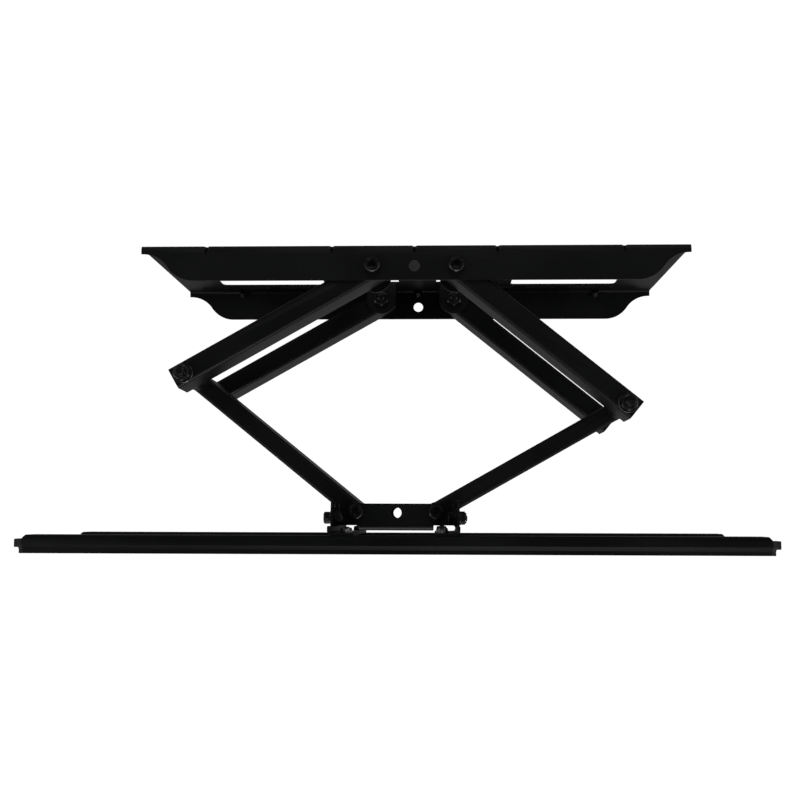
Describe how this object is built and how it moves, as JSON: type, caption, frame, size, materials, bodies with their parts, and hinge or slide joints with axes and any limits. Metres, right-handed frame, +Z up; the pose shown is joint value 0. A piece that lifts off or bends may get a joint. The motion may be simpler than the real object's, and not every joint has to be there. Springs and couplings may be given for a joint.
{
  "type": "full-motion screen wall mount",
  "caption": "Black wall mount for a large flat screen: folded wall plate, folding double arms, tilting head and long horizontal rails.",
  "frame": {"origin": "centre of the wall plate's back, on the wall", "axes": "+X along the wall, +Y into the wall, +Z up"},
  "size_m": [0.634, 0.2577, 0.219],
  "materials": {
    "black_coat": "black powder coat, satin, on sheet steel and steel tube",
    "black_zinc": "black zinc plate, half gloss",
    "bush_plastic": "black moulded nylon",
    "cap_plastic": "black moulded plastic, matt"
  },
  "bodies": {
    "wall": {"wall_plate": "black_coat", "shoulder_bolts": "black_zinc", "shoulder_nuts": "black_zinc"},
    "left_rear": {"left_upper_rear_arm": "black_coat", "left_lower_rear_arm": "black_coat", "left_rear_bushes": "bush_plastic", "left_elbow_bolt": "black_zinc", "left_elbow_nut": "black_zinc", "left_elbow_washers": "black_zinc"},
    "left_fore": {"left_forearm": "black_coat", "left_forearm_bushes": "bush_plastic"},
    "head": {"head_bracket": "black_coat", "head_pivot_bolts": "black_zinc", "head_pivot_nuts": "black_zinc", "tilt_bolts": "black_zinc", "tilt_nuts": "black_zinc", "tilt_washers": "black_zinc"},
    "screen_frame": {"left_upright": "black_coat", "right_upright": "black_coat", "upper_rail": "black_coat", "lower_rail": "black_coat", "upper_rail_caps": "cap_plastic", "lower_rail_caps": "cap_plastic", "rail_bolts": "black_zinc", "rail_nuts": "black_zinc"},
    "right_rear": {"right_upper_rear_arm": "black_coat", "right_lower_rear_arm": "black_coat", "right_rear_bushes": "bush_plastic", "right_elbow_bolt": "black_zinc", "right_elbow_nut": "black_zinc", "right_elbow_washers": "black_zinc"},
    "right_fore": {"right_forearm": "black_coat", "right_forearm_bushes": "bush_plastic"}
  },
  "joints": [
    {"name": "left_shoulder", "type": "hinge", "parent": "wall", "child": "left_rear", "pos_m": [-0.035, -0.018, 0], "axis": [0, 0, 1], "range_deg": [-27, 45]},
    {"name": "left_elbow", "type": "hinge", "parent": "left_rear", "child": "left_fore", "pos_m": [-0.1934, -0.10762, 0], "axis": [0, 0, 1], "range_deg": [-90, 54]},
    {"name": "head_pivot", "type": "hinge", "parent": "left_fore", "child": "head", "pos_m": [-0.05196, -0.22216, 0], "axis": [0, 0, 1], "range_deg": [-27, 45]},
    {"name": "right_shoulder", "type": "hinge", "parent": "wall", "child": "right_rear", "pos_m": [0.035, -0.018, 0], "axis": [0, 0, 1], "range_deg": [-45, 27]},
    {"name": "right_elbow", "type": "hinge", "parent": "right_rear", "child": "right_fore", "pos_m": [0.17644, -0.13254, 0], "axis": [0, 0, 1], "range_deg": [-54, 90]},
    {"name": "tilt", "type": "hinge", "parent": "head", "child": "screen_frame", "pos_m": [-0.01696, -0.22766, -0.046], "axis": [1, 0, 0], "range_deg": [-2, 5]}
  ],
  "couplings": [
    {"joint": "left_elbow", "follows": "left_shoulder", "ratio": -2},
    {"joint": "head_pivot", "follows": "left_shoulder", "ratio": 1},
    {"joint": "right_shoulder", "follows": "left_shoulder", "ratio": -1},
    {"joint": "right_elbow", "follows": "left_shoulder", "ratio": 2}
  ]
}
